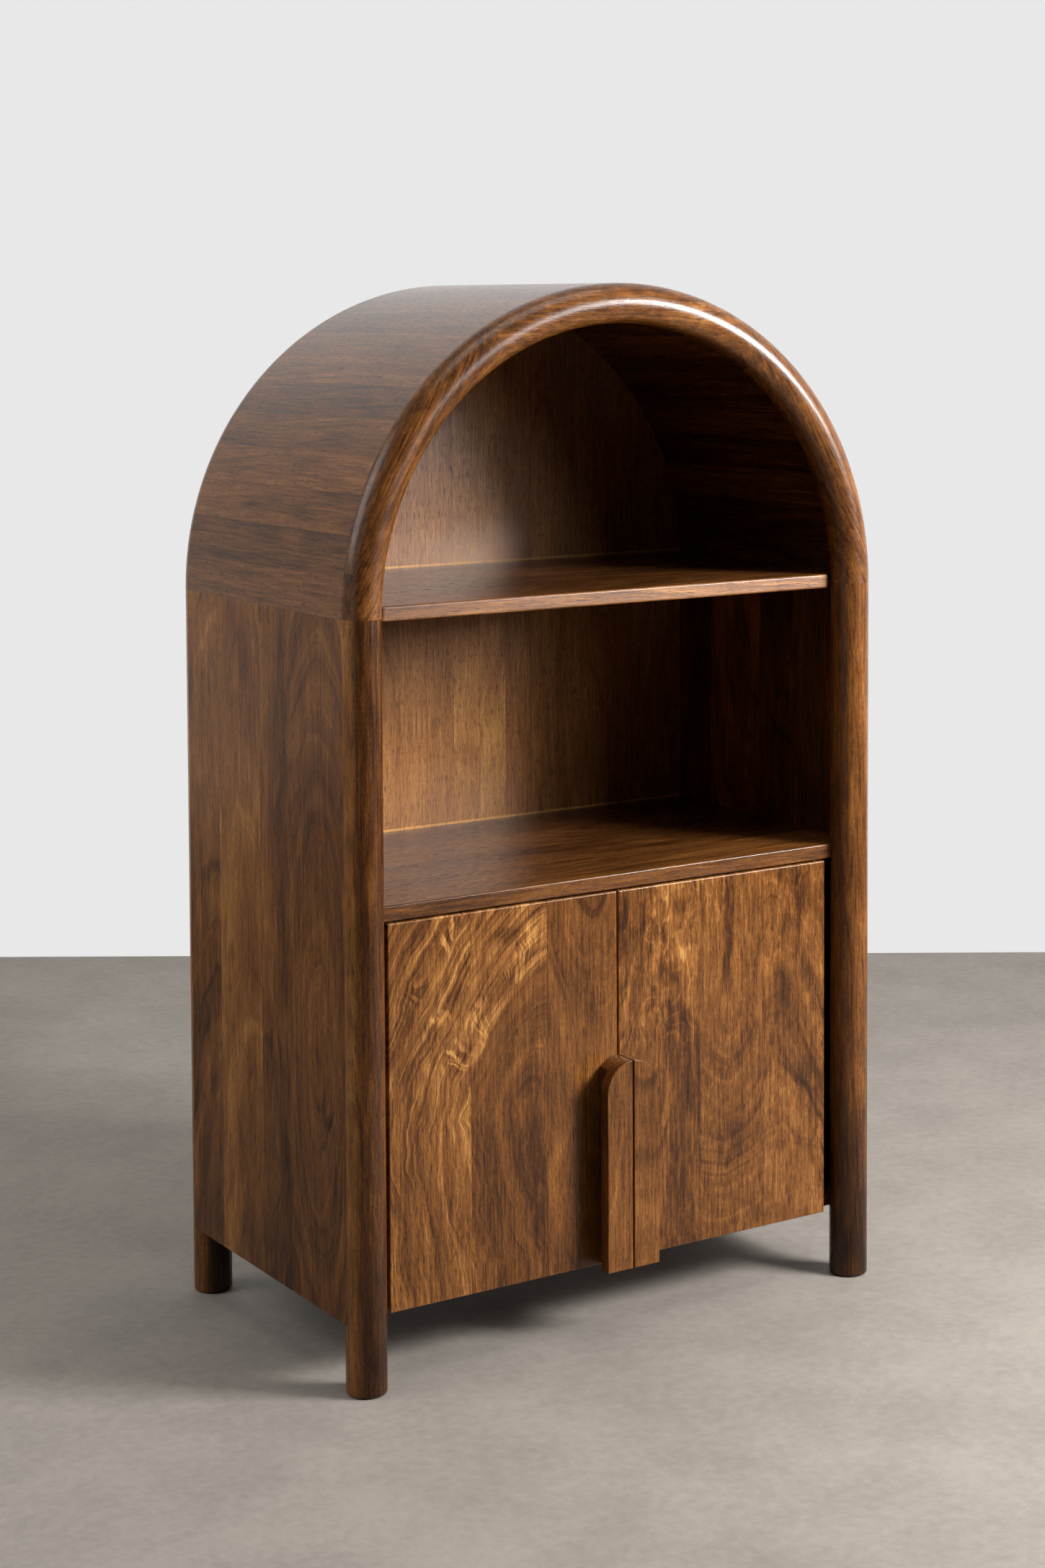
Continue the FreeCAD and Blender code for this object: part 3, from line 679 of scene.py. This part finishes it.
def metal_material(name, colour, roughness):
    """Metal with fine turning marks and a little tarnish."""
    material, g = blank_material(name)
    place = g.object_place()
    marks = g.scaled_noise(place, (72.0, 72.0, 2080.0), detail=2.0)
    cloud = g.scaled_noise(place, (140.0, 140.0, 140.0), detail=3.0)
    bright = g.fade(g.add(g.mul(cloud, 0.7), g.mul(marks, 0.3)), 0.30, 0.72)
    tone = g.tinted(bright, toned(colour, 0.62), colour)
    bump = g.node("ShaderNodeBump", {"Strength": 0.2, "Distance": 0.00005, "Height": marks})
    shader = g.node("ShaderNodeBsdfPrincipled", {
        "Base Color": tone, "Metallic": 1.0, "Normal": bump.outputs["Normal"],
        "Roughness": g.add(g.mul(cloud, 0.25), roughness)})
    g.surface(shader)
    return material


def moulded_material(name, colour):
    """Moulded case with a fine spark-eroded grain."""
    material, g = blank_material(name)
    place = g.object_place()
    grain = g.scaled_noise(place, (1600.0, 1600.0, 1600.0), detail=2.0)
    cloud = g.scaled_noise(place, (90.0, 90.0, 90.0), detail=2.0)
    tone = g.tinted(g.add(g.mul(cloud, 0.6), g.mul(grain, 0.3)), toned(colour, 0.7), colour)
    bump = g.node("ShaderNodeBump", {"Strength": 0.3, "Distance": 0.0001, "Height": grain})
    shader = g.node("ShaderNodeBsdfPrincipled", {
        "Base Color": tone, "Normal": bump.outputs["Normal"], "Roughness": g.add(g.mul(grain, 0.2), 0.42)})
    g.surface(shader)
    return material


def finish(material, *names):
    """Gives CAD nodes a material."""
    for name in names:
        NODES[name].material_slots[0].material = material


def shared(name, make):
    """The material of that name, made once."""
    return bpy.data.materials.get(name) or make()


def steel():
    return shared("plated_steel", lambda: metal_material("plated_steel", tuple(settings().metal.steel), 0.22))


def brass():
    return shared("turned_brass", lambda: metal_material("turned_brass", tuple(settings().metal.brass), 0.26))


# Geometry nodes
GEOMETRY = "NodeSocketGeometry"
SHARP_ANGLE = math.radians(30)


def set_inputs(modifier, values):
    """Sets a node tree's inputs by the name of each socket."""
    for item in modifier.node_group.interface.items_tree:
        if item.item_type == "SOCKET" and item.in_out == "INPUT" and item.name in values:
            modifier[item.identifier] = values[item.name]


def baked(name, base, tree, values):
    """The evaluated result of a node tree as a plain mesh; the carrier object and modifier go."""
    carrier = bpy.data.objects.new(name + "_carrier", base)
    bpy.context.scene.collection.objects.link(carrier)
    modifier = carrier.modifiers.new("shape", "NODES")
    modifier.node_group = tree
    set_inputs(modifier, values)
    bpy.context.view_layer.update()
    evaluated = carrier.evaluated_get(bpy.context.evaluated_depsgraph_get())
    mesh = bpy.data.meshes.new_from_object(evaluated, preserve_all_data_layers=True,
                                           depsgraph=bpy.context.evaluated_depsgraph_get())
    carrier.modifiers.remove(modifier)
    bpy.data.objects.remove(carrier)
    if not mesh.polygons:
        raise RuntimeError(name + " came out empty")
    mesh.name = name
    mesh.polygons.foreach_set("use_smooth", [True] * len(mesh.polygons))
    mesh.set_sharp_from_angle(angle=SHARP_ANGLE)
    return mesh


def vault_tree():
    """Staves side by side round a half circle, each a slice of the barrel."""
    tree = group_tree("vault_staves_round_arc", "GeometryNodeTree",
                      [("Geometry", GEOMETRY, None), ("Staves", "NodeSocketInt", 25), ("Radius", FLOAT, 0.4),
                       ("Thickness", FLOAT, 0.01), ("Front", FLOAT, -0.2), ("Rear", FLOAT, 0.2),
                       ("Spring height", FLOAT, 0.9), ("Material", "NodeSocketMaterial", None)],
                      [("Geometry", GEOMETRY, None)])
    g = Graph(tree)
    given = g.node("NodeGroupInput").outputs
    pitch = g.calc("DIVIDE", math.pi, given["Staves"])
    block = g.node("GeometryNodeMeshCube", {"Size": (1, 1, 1), "Vertices X": 7, "Vertices Y": 9, "Vertices Z": 2})
    x, y, z = g.parts(g.node("GeometryNodeInputPosition").outputs[0])
    angle = g.mul(x, pitch)
    radius = g.add(given["Radius"], g.mul(g.sub(z, 0.5), given["Thickness"]))
    length = g.blend(g.add(y, 0.5), given["Front"], given["Rear"])
    slice_point = g.point(g.mul(radius, g.calc("SINE", angle)), length, g.mul(radius, g.calc("COSINE", angle)))
    stave = g.node("GeometryNodeSetPosition", {"Geometry": block.outputs["Mesh"], "Position": slice_point})
    marks = g.node("GeometryNodeMeshLine", {"Count": given["Staves"], "Offset": (0, 0, 0),
                                            "Start Location": g.point(0.0, 0.0, given["Spring height"])})
    index = g.node("GeometryNodeInputIndex").outputs[0]
    turn = g.sub(math.pi / 2, g.mul(g.add(index, 0.5), pitch))
    facing = g.node("FunctionNodeEulerToRotation", {0: g.point(0.0, turn, 0.0)})
    row = g.node("GeometryNodeInstanceOnPoints", {"Points": marks.outputs[0], "Instance": stave.outputs[0],
                                                  "Rotation": facing.outputs[0]})
    numbered = g.node("GeometryNodeStoreNamedAttribute", {"Geometry": row.outputs[0], "Name": "stave",
                                                          "Value": index}, domain="INSTANCE", data_type="FLOAT")
    solid = g.node("GeometryNodeRealizeInstances", {0: numbered.outputs[0]})
    clad = g.node("GeometryNodeSetMaterial", {"Geometry": solid.outputs[0], "Material": given["Material"]})
    g.node("NodeGroupOutput", {"Geometry": clad.outputs[0]})
    return tree


def screw_tree():
    """A cross-recessed screw at each point, driven along the point's own direction."""
    tree = group_tree("cross_recess_screws", "GeometryNodeTree",
                      [("Geometry", GEOMETRY, None), ("Shank radius", FLOAT, 0.002), ("Shank length", FLOAT, 0.02),
                       ("Head radius", FLOAT, 0.004), ("Head height", FLOAT, 0.002), ("Recess", FLOAT, 0.26),
                       ("Taper", FLOAT, 0.72), ("Material", "NodeSocketMaterial", None)],
                      [("Geometry", GEOMETRY, None)])
    g = Graph(tree)
    given = g.node("NodeGroupInput").outputs
    radius, height = given["Head radius"], given["Head height"]
    head = g.node("GeometryNodeMeshCone", {
        "Vertices": 32, "Side Segments": 1, "Fill Segments": 1, "Radius Top": g.mul(radius, given["Taper"]),
        "Radius Bottom": radius, "Depth": height}).outputs["Mesh"]
    arm = g.mul(radius, 1.15)
    slot_width = g.mul(radius, given["Recess"])
    cutters = g.node("GeometryNodeJoinGeometry")
    for size in (g.point(arm, slot_width, height), g.point(slot_width, arm, height)):
        cutter = g.node("GeometryNodeMeshCube", {"Size": size})
        placed = g.node("GeometryNodeTransform", {"Geometry": cutter.outputs[0],
                                                  "Translation": g.point(0.0, 0.0, g.mul(height, 0.9))})
        tree.links.new(placed.outputs[0], cutters.inputs[0])
    recessed = g.node("GeometryNodeMeshBoolean", {"Self Intersection": True}, operation="DIFFERENCE", solver="EXACT")
    tree.links.new(head, recessed.inputs[0])
    tree.links.new(cutters.outputs[0], recessed.inputs[1])
    turned = g.node("GeometryNodeTransform", {"Geometry": recessed.outputs[0], "Rotation": (math.pi, 0, 0)})
    shank = g.node("GeometryNodeMeshCylinder", {"Vertices": 24, "Radius": given["Shank radius"],
                                                "Depth": given["Shank length"]})
    driven = g.node("GeometryNodeTransform", {"Geometry": shank.outputs["Mesh"],
                                              "Translation": g.point(0.0, 0.0, g.mul(given["Shank length"], 0.5))})
    screw = g.node("GeometryNodeJoinGeometry")
    for part in (turned, driven):
        tree.links.new(part.outputs[0], screw.inputs[0])
    axis = g.node("GeometryNodeInputNamedAttribute", {"Name": "axis"}, data_type="FLOAT_VECTOR")
    facing = g.node("FunctionNodeAlignRotationToVector", {"Vector": axis.outputs[0]}, axis="Z")
    row = g.node("GeometryNodeInstanceOnPoints", {"Points": given["Geometry"], "Instance": screw.outputs[0],
                                                  "Rotation": facing.outputs[0]})
    solid = g.node("GeometryNodeRealizeInstances", {0: row.outputs[0]})
    clad = g.node("GeometryNodeSetMaterial", {"Geometry": solid.outputs[0], "Material": given["Material"]})
    g.node("NodeGroupOutput", {"Geometry": clad.outputs[0]})
    return tree


# Sizes of each kind of screw: shank radius and length, head radius and height
SCREW_SIZES = {
    "pull": (0.00225, 0.035, 0.0045, 0.0025),
    "bracket": (0.0020, 0.011, 0.0040, 0.0022),
    "catch": (0.00175, 0.026, 0.0035, 0.0020),
    "strike": (0.0015, 0.012, 0.0030, 0.0012),
}
# Screws of each body: CAD node, kind, direction they are driven in
SCREW_SETS = {
    "left_door": (("left_pull_screws", "pull", (0, -1, 0)), ("left_strike_screw", "strike", (0, -1, 0))),
    "right_door": (("right_pull_screws", "pull", (0, -1, 0)), ("right_strike_screw", "strike", (0, -1, 0))),
    "carcass": (("bracket_screws", "bracket", (0, 0, 1)), ("catch_screws", "catch", (0, 0, 1))),
}


def loose_shells(node):
    """The boxes of the separate solids in a CAD node."""
    mesh = bmesh.new()
    mesh.from_mesh(NODES[node].data)
    bmesh.ops.remove_doubles(mesh, verts=mesh.verts, dist=1e-6)
    left = set(mesh.verts)
    shells = []
    while left:
        todo = [left.pop()]
        shell = []
        while todo:
            vert = todo.pop()
            shell.append(vert.co.copy())
            for edge in vert.link_edges:
                other = edge.other_vert(vert)
                if other in left:
                    left.remove(other)
                    todo.append(other)
        low = Vector(min(co[k] for co in shell) for k in range(3))
        high = Vector(max(co[k] for co in shell) for k in range(3))
        shells.append((low, high))
    mesh.free()
    return sorted(shells, key=lambda shell: tuple(shell[0]))


def drawn_screws(node, kind, axis, tree):
    """The screws of a CAD node as one mesh, each head where its solid has it."""
    screws = settings().screws
    shank_r, shank_l, head_r, head_h = SCREW_SIZES[kind]
    half = (shank_l + head_h) / 2
    points = [(low + high) / 2 - Vector(axis) * (half - head_h) for low, high in loose_shells(node)]
    base = bpy.data.meshes.new(node + "_points")
    base.from_pydata(points, [], [])
    base.attributes.new("axis", "FLOAT_VECTOR", "POINT").data.foreach_set("vector", list(axis) * len(points))
    return baked(node + "_drawn", base, tree, {
        "Shank radius": shank_r, "Shank length": shank_l, "Head radius": head_r, "Head height": head_h,
        "Recess": screws.recess, "Taper": screws.taper, "Material": steel()})


def add_piece(name, mesh, body, slot, *nodes):
    """Adds a drawn piece that rides on a body and stands for CAD nodes."""
    piece = bpy.data.objects.new(name, mesh)
    bpy.context.scene.collection.objects.link(piece)
    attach(piece, body)
    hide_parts(*nodes)


# Operators
class ARCHEDSHELF_OT_posts(Operator):
    """Gives the four posts their upright grain"""
    bl_idname = "arched_shelf.posts"
    bl_label = "Posts"

    def execute(self, context):
        finish(wood_material("post_wood", upright_grain, 0.55),
               "front_left_post", "front_right_post", "rear_left_post", "rear_right_post")
        return {"FINISHED"}


class ARCHEDSHELF_OT_rails(Operator):
    """Gives each segment of the two arch rails the grain of its own plank"""
    bl_idname = "arched_shelf.rails"
    bl_label = "Arch rails"

    def execute(self, context):
        turns = {"left": math.radians(60), "crown": 0.0, "right": math.radians(-60)}
        for row, place in enumerate(("front", "rear")):
            for k, (part, turn) in enumerate(turns.items()):
                name = f"{place}_arch_{part}"
                board = RAIL_BOARD + len(turns) * row + k
                finish(wood_material(name + "_wood", rail_grain(turn, board), 0.5, gloss=0.9), name)
        return {"FINISHED"}


class ARCHEDSHELF_OT_vault(Operator):
    """Builds the barrel of the vault from staves set side by side"""
    bl_idname = "arched_shelf.vault"
    bl_label = "Vault"

    def execute(self, context):
        vault = settings().vault
        mesh = baked("vault_of_staves", bpy.data.meshes.new("vault_seed"), vault_tree(), {
            "Staves": vault.staves, "Radius": VAULT_HIGH.x, "Thickness": vault.thickness, "Front": VAULT_LOW.y,
            "Rear": VAULT_HIGH.y, "Spring height": SPRING_HEIGHT,
            "Material": wood_material("vault_wood", vault_grain, 0.55, gloss=1.0)})
        add_piece("vault_of_staves", mesh, "carcass", "vault", "vault_staves")
        return {"FINISHED"}


class ARCHEDSHELF_OT_sides(Operator):
    """Gives the side panels their four boards each"""
    bl_idname = "arched_shelf.sides"
    bl_label = "Sides"

    def execute(self, context):
        for side, row in SIDES.items():
            finish(wood_material(side + "_side_wood", side_grain(*row), gloss=0.5), side + "_side_boards")
        return {"FINISHED"}


class ARCHEDSHELF_OT_back(Operator):
    """Gives the back its narrow upright boards"""
    bl_idname = "arched_shelf.back"
    bl_label = "Back"

    def execute(self, context):
        finish(wood_material("back_wood", back_grain, 0.40, 0.12, 1.0), "back_boards")
        return {"FINISHED"}


class ARCHEDSHELF_OT_shelves(Operator):
    """Gives the two shelves and the cupboard floor their level grain"""
    bl_idname = "arched_shelf.shelves"
    bl_label = "Shelves"

    def execute(self, context):
        for name, (joints, first, level, edge_light_and_shade, edge_dull, gloss) in SHELVES.items():
            grain = shelf_grain((SHELF_FRONT, *joints, SHELF_REAR), first, level, edge_light_and_shade, edge_dull)
            finish(wood_material(name + "_wood", grain, 0.7, gloss=gloss), name)
        finish(wood_material("cupboard_floor_wood", cupboard_floor_grain, 0.6), "cupboard_floor")
        return {"FINISHED"}


class ARCHEDSHELF_OT_doors(Operator):
    """Gives the two doors their figured boards"""
    bl_idname = "arched_shelf.doors"
    bl_label = "Doors"

    def execute(self, context):
        finish(wood_material("left_door_wood", left_door_grain), "left_door_boards")
        finish(wood_material("right_door_wood", right_door_grain), "right_door_boards")
        return {"FINISHED"}


class ARCHEDSHELF_OT_pulls(Operator):
    """Gives the two half-round pulls their grain"""
    bl_idname = "arched_shelf.pulls"
    bl_label = "Pulls"

    def execute(self, context):
        for k, side in enumerate(("left", "right")):
            finish(wood_material(side + "_pull_wood", pull_grain(PULL_BOARD + k), 0.6), side + "_pull")
        return {"FINISHED"}


class ARCHEDSHELF_OT_joinery(Operator):
    """Finishes the dowels, pivots, bushes, washers, brackets, catch and strike plates"""
    bl_idname = "arched_shelf.joinery"
    bl_label = "Joinery and fittings"

    def execute(self, context):
        finish(wood_material("dowel_wood", dowel_grain, 0.5), "arch_dowels")
        finish(steel(), "top_pivot_pins", "bottom_pivot_pins", "pivot_brackets", "left_strike_plate",
               "right_strike_plate")
        finish(brass(), "left_door_bushes", "right_door_bushes", "thrust_washers")
        finish(moulded_material("catch_case", tuple(settings().metal.catch_brown)), "magnetic_catch")
        return {"FINISHED"}


class ARCHEDSHELF_OT_screws(Operator):
    """Drives the cross-recessed screws of the pulls, strikes, catch and brackets"""
    bl_idname = "arched_shelf.screws"
    bl_label = "Screws"

    def execute(self, context):
        tree = screw_tree()
        for body, rows in SCREW_SETS.items():
            joined = bmesh.new()
            for node, kind, axis in rows:
                mesh = drawn_screws(node, kind, axis, tree)
                joined.from_mesh(mesh)
                bpy.data.meshes.remove(mesh)
            whole = bpy.data.meshes.new(body + "_screws")
            joined.to_mesh(whole)
            joined.free()
            whole.materials.append(steel())
            whole.set_sharp_from_angle(angle=SHARP_ANGLE)
            add_piece(body + "_screws", whole, body, "steel", *(row[0] for row in rows))
        return {"FINISHED"}


# Stage: the photo's camera in the frame of the shelf (its picture in pixels), the backdrop and the floor
CAMERA_PLACE = Vector((-1.94238, -3.04697, 1.31797))
CAMERA_YAW = 0.5727
CAMERA_PITCH = 0.0604
CAMERA_ROLL = -0.0046
FOCAL_PIXELS = 3779.66
FRAME_WIDTH, FRAME_HEIGHT = 1450.0, 2175.0
AXIS_COLUMN, AXIS_ROW = 754.49, 650.0
SENSOR = 0.036
WALL_DISTANCE = 5.46
WALL_MIDDLE = (1.02, 1.54)
WALL_HALF, WALL_HEIGHT = 6.0, 5.0
WING_END = (-4.33, -2.50, 0.0)
FLOOR_REACH = 9.0
# Lamps: place, target and size of each
LAMPS = {
    "key": ((1.49, -1.72, 1.54), (0.0, -0.1, 0.75), (0.75, 0.7)),
    "front": ((1.15, -2.25, 1.45), (0.0, -0.1, 0.65), (0.9, 0.7)),
    "top": ((0.0, -0.7, 3.4), (0.0, 0.0, 1.1), (2.2, 1.2)),
    "side": ((-2.2, 0.6, 2.0), (-0.4, 0.0, 0.8), (1.4, 1.4)),
}


def camera_axes():
    """The camera's right, up and look, and its level direction ahead."""
    up = Vector((0, 0, 1))
    ahead = Vector((math.sin(CAMERA_YAW), math.cos(CAMERA_YAW), 0))
    right = Vector((math.cos(CAMERA_YAW), -math.sin(CAMERA_YAW), 0))
    look = ahead * math.cos(CAMERA_PITCH) - up * math.sin(CAMERA_PITCH)
    tip = up * math.cos(CAMERA_PITCH) + ahead * math.sin(CAMERA_PITCH)
    level = right * math.cos(CAMERA_ROLL) + tip * math.sin(CAMERA_ROLL)
    top = tip * math.cos(CAMERA_ROLL) - right * math.sin(CAMERA_ROLL)
    return level, top, look, ahead


def stage_mesh(name, points, faces, material):
    """A floor or backdrop, which is no part of the shelf."""
    mesh = bpy.data.meshes.new(name)
    mesh.from_pydata(points, [], faces)
    mesh.materials.append(material)
    obj = bpy.data.objects.new(name, mesh)
    bpy.context.scene.collection.objects.link(obj)


def backdrop(bends):
    """Upright wall along a bent line on the floor, its front toward the shelf."""
    rise = Vector((0, 0, WALL_HEIGHT))
    points = [bend + lift for bend in bends for lift in (Vector(), rise)]
    faces = [(2 * k + 2, 2 * k, 2 * k + 1, 2 * k + 3) for k in range(len(bends) - 1)]
    stage_mesh("studio_wall", points, faces, wall_material())


def floor_material():
    """Pale mineral floor with cloudy, speckled tone, darker for the light that it scatters."""
    material, g = blank_material("mineral_floor")
    x, y = g.object_place()[:2]
    cloud = g.noise(g.mul(x, 5.0), g.mul(y, 5.0), 0.0, detail=4.0, roughness=0.6)
    speck = g.noise(g.mul(x, 60.0), g.mul(y, 60.0), 3.0, detail=3.0, roughness=0.7)
    base = settings().stage.floor
    tone = g.fade(g.add(g.mul(cloud, 0.55), g.mul(speck, 0.45)), 0.30, 0.70)
    colour = g.tinted(tone, toned(base, 0.82), toned(base, 1.12))
    colour = g.tinted(g.seen(), toned(base, 0.45), colour)
    shader = g.node("ShaderNodeBsdfPrincipled", {"Base Color": colour, "Roughness": 0.75})
    g.surface(shader)
    return material


def wall_material():
    """White backdrop, seen from its front only; it glows for the camera and in reflections, pale grey for the camera,
    white in reflections and dimmer toward the left, and scatters light as white paint.
    """
    material, g = blank_material("white_backdrop")
    wall = tuple(settings().stage.wall)
    x, y = g.object_place()[:2]
    leftward = g.sub(g.mul(g.sub(y, WALL_MIDDLE[1]), math.sin(CAMERA_YAW)),
                     g.mul(g.sub(x, WALL_MIDDLE[0]), math.cos(CAMERA_YAW)))
    camera_ray = g.node("ShaderNodeLightPath").outputs["Is Camera Ray"]
    lit = g.tinted(camera_ray, (1.0, 1.0, 1.0), wall)
    lit = g.tinted(g.fade(leftward, 1.0, 4.5), lit, toned(wall, 0.45))
    paint = g.node("ShaderNodeBsdfDiffuse", {"Color": (*wall, 1.0)})
    glow = g.node("ShaderNodeEmission", {"Color": lit, "Strength": 1.0})
    front = g.node("ShaderNodeMixShader", {0: g.seen(), 1: paint.outputs[0], 2: glow.outputs[0]})
    clear = g.node("ShaderNodeBsdfTransparent")
    behind = g.node("ShaderNodeNewGeometry").outputs["Backfacing"]
    both = g.node("ShaderNodeMixShader", {0: behind, 1: front.outputs[0], 2: clear.outputs[0]})
    g.surface(both)
    return material


def lamp(name, place, target, size, power):
    """A soft box that the camera does not see."""
    data = bpy.data.lights.new(name, "AREA")
    data.shape = "RECTANGLE"
    data.size, data.size_y = size
    data.energy = power
    obj = bpy.data.objects.new(name, data)
    obj.location = place
    obj.visible_camera = False
    obj.rotation_euler = (Vector(target) - Vector(place)).to_track_quat("-Z", "Y").to_euler()
    bpy.context.scene.collection.objects.link(obj)


def studio_air(ahead):
    """World light, brighter from behind the shelf than from behind the camera."""
    world = bpy.data.worlds.new("studio_air")
    world.use_nodes = True
    world.node_tree.nodes.clear()
    g = Graph(world.node_tree)
    toward = g.parts(g.node("ShaderNodeTexCoord").outputs["Generated"])
    back = g.add(g.mul(toward[0], ahead.x), g.mul(toward[1], ahead.y))
    shade = g.ramp(g.add(g.mul(back, 0.5), 0.5), [(0.15, (0.04, 0.04, 0.04)), (0.85, (0.5, 0.5, 0.5))])
    sky = g.node("ShaderNodeBackground", {"Color": shade, "Strength": 1.0})
    g.node("ShaderNodeOutputWorld", {"Surface": sky.outputs[0]})
    return world


def photo_camera(level, top, look):
    """The photo's camera, its lens shifted as the photo's framing needs."""
    data = bpy.data.cameras.new("photo_camera")
    data.sensor_fit = "AUTO"
    data.sensor_width = SENSOR * 1000
    data.lens = FOCAL_PIXELS / FRAME_HEIGHT * SENSOR * 1000
    data.shift_x = (FRAME_WIDTH / 2 - AXIS_COLUMN) / FRAME_HEIGHT
    data.shift_y = (AXIS_ROW - FRAME_HEIGHT / 2) / FRAME_HEIGHT
    data.clip_end = 60.0
    camera = bpy.data.objects.new("photo_camera", data)
    turned = Matrix((level, top, -look)).transposed().to_4x4()
    camera.matrix_world = Matrix.Translation(CAMERA_PLACE) @ turned
    bpy.context.scene.collection.objects.link(camera)
    return camera


class ARCHEDSHELF_OT_stage(Operator):
    """Sets the floor, backdrop, lamps, world and camera"""
    bl_idname = "arched_shelf.stage"
    bl_label = "Stage"

    def execute(self, context):
        stage = settings().stage
        level, top, look, ahead = camera_axes()
        corners = [(x * FLOOR_REACH, y * FLOOR_REACH, 0) for x, y in ((-1, -1), (1, -1), (1, 1), (-1, 1))]
        stage_mesh("studio_floor", corners, [(0, 1, 2, 3)], floor_material())
        foot = CAMERA_PLACE + ahead * WALL_DISTANCE
        foot.z = 0
        sideways = Vector((ahead.y, -ahead.x, 0)) * WALL_HALF
        backdrop([foot + sideways, foot - sideways, Vector(WING_END)])
        for name, (place, target, size) in LAMPS.items():
            lamp(name + "_lamp", place, target, size, getattr(stage, name))
        context.scene.world = studio_air(ahead)
        context.scene.camera = photo_camera(level, top, look)
        context.scene.view_settings.view_transform = "Standard"
        return {"FINISHED"}


STEPS = (
    ARCHEDSHELF_OT_posts,
    ARCHEDSHELF_OT_rails,
    ARCHEDSHELF_OT_vault,
    ARCHEDSHELF_OT_sides,
    ARCHEDSHELF_OT_back,
    ARCHEDSHELF_OT_shelves,
    ARCHEDSHELF_OT_doors,
    ARCHEDSHELF_OT_pulls,
    ARCHEDSHELF_OT_joinery,
    ARCHEDSHELF_OT_screws,
    ARCHEDSHELF_OT_stage,
)


class ARCHEDSHELF_PT_panel(Panel):
    bl_label = "Arched Shelf"
    bl_idname = "ARCHEDSHELF_PT_panel"
    bl_space_type = "VIEW_3D"
    bl_region_type = "UI"
    bl_category = "Arched Shelf"

    def draw(self, context):
        for step in STEPS:
            self.layout.operator(step.bl_idname)
        for name in ("wood", "vault", "screws", "metal", "stage"):
            group = getattr(settings(), name)
            box = self.layout.box()
            box.label(text=name.capitalize())
            for key in group.__annotations__:
                box.prop(group, key)


CLASSES = (WoodSettings, VaultSettings, ScrewSettings, MetalSettings, StageSettings, ShelfSettings, *STEPS,
           ARCHEDSHELF_PT_panel)


def register():
    for cls in CLASSES:
        bpy.utils.register_class(cls)
    bpy.types.Scene.arched_shelf = PointerProperty(type=ShelfSettings)


def unregister():
    del bpy.types.Scene.arched_shelf
    for cls in reversed(CLASSES):
        bpy.utils.unregister_class(cls)


def main():
    register()
    for step in STEPS:
        group, name = step.bl_idname.split(".")
        getattr(getattr(bpy.ops, group), name)()


if __name__ == "__main__":
    main()
